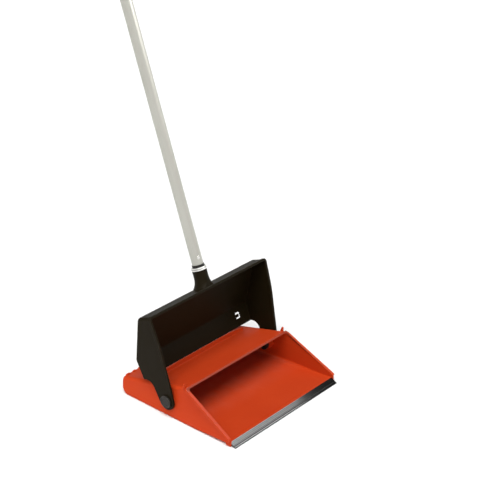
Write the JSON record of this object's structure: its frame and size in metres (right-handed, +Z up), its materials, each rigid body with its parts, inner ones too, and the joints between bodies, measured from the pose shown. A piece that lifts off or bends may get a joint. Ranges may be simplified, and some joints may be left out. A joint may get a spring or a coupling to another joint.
{
  "type": "lobby dustpan",
  "caption": "Upright lobby dustpan: a roofed red scoop with a rubber lip hangs between the arms of a black hood, which carries a tall tube handle and swings over the mouth to close it.",
  "frame": {"origin": "on the scoop's flat underside, straight below the hinge line, at mid width", "axes": "+X along the mouth to the right, +Y to the back, away from the lip, +Z up"},
  "size_m": [0.3466, 0.4904, 0.9715],
  "materials": {
    "scoop_plastic": "moulded, satin gloss",
    "lip_rubber": "smooth, extruded",
    "hood_plastic": "moulded, satin",
    "pin_plastic": "moulded, satin",
    "ferrule_metal": "bright",
    "tube_metal": "drawn, satin"
  },
  "bodies": {
    "scoop": {"scoop": "scoop_plastic", "lip_blade": "lip_rubber"},
    "hood": {"hood": "hood_plastic", "hinge_pin_left": "pin_plastic", "hinge_pin_right": "pin_plastic", "pin_retainer_left": "pin_plastic", "pin_retainer_right": "pin_plastic", "socket_ferrule": "ferrule_metal", "handle_insert": "pin_plastic", "insert_rivet": "tube_metal", "handle_tube": "tube_metal", "handle_cap": "pin_plastic"}
  },
  "joints": [
    {"name": "hood_hinge", "type": "hinge", "parent": "scoop", "child": "hood", "pos_m": [0, 0, 0.036], "axis": [1, 0, 0], "range_deg": [0, 108]}
  ]
}
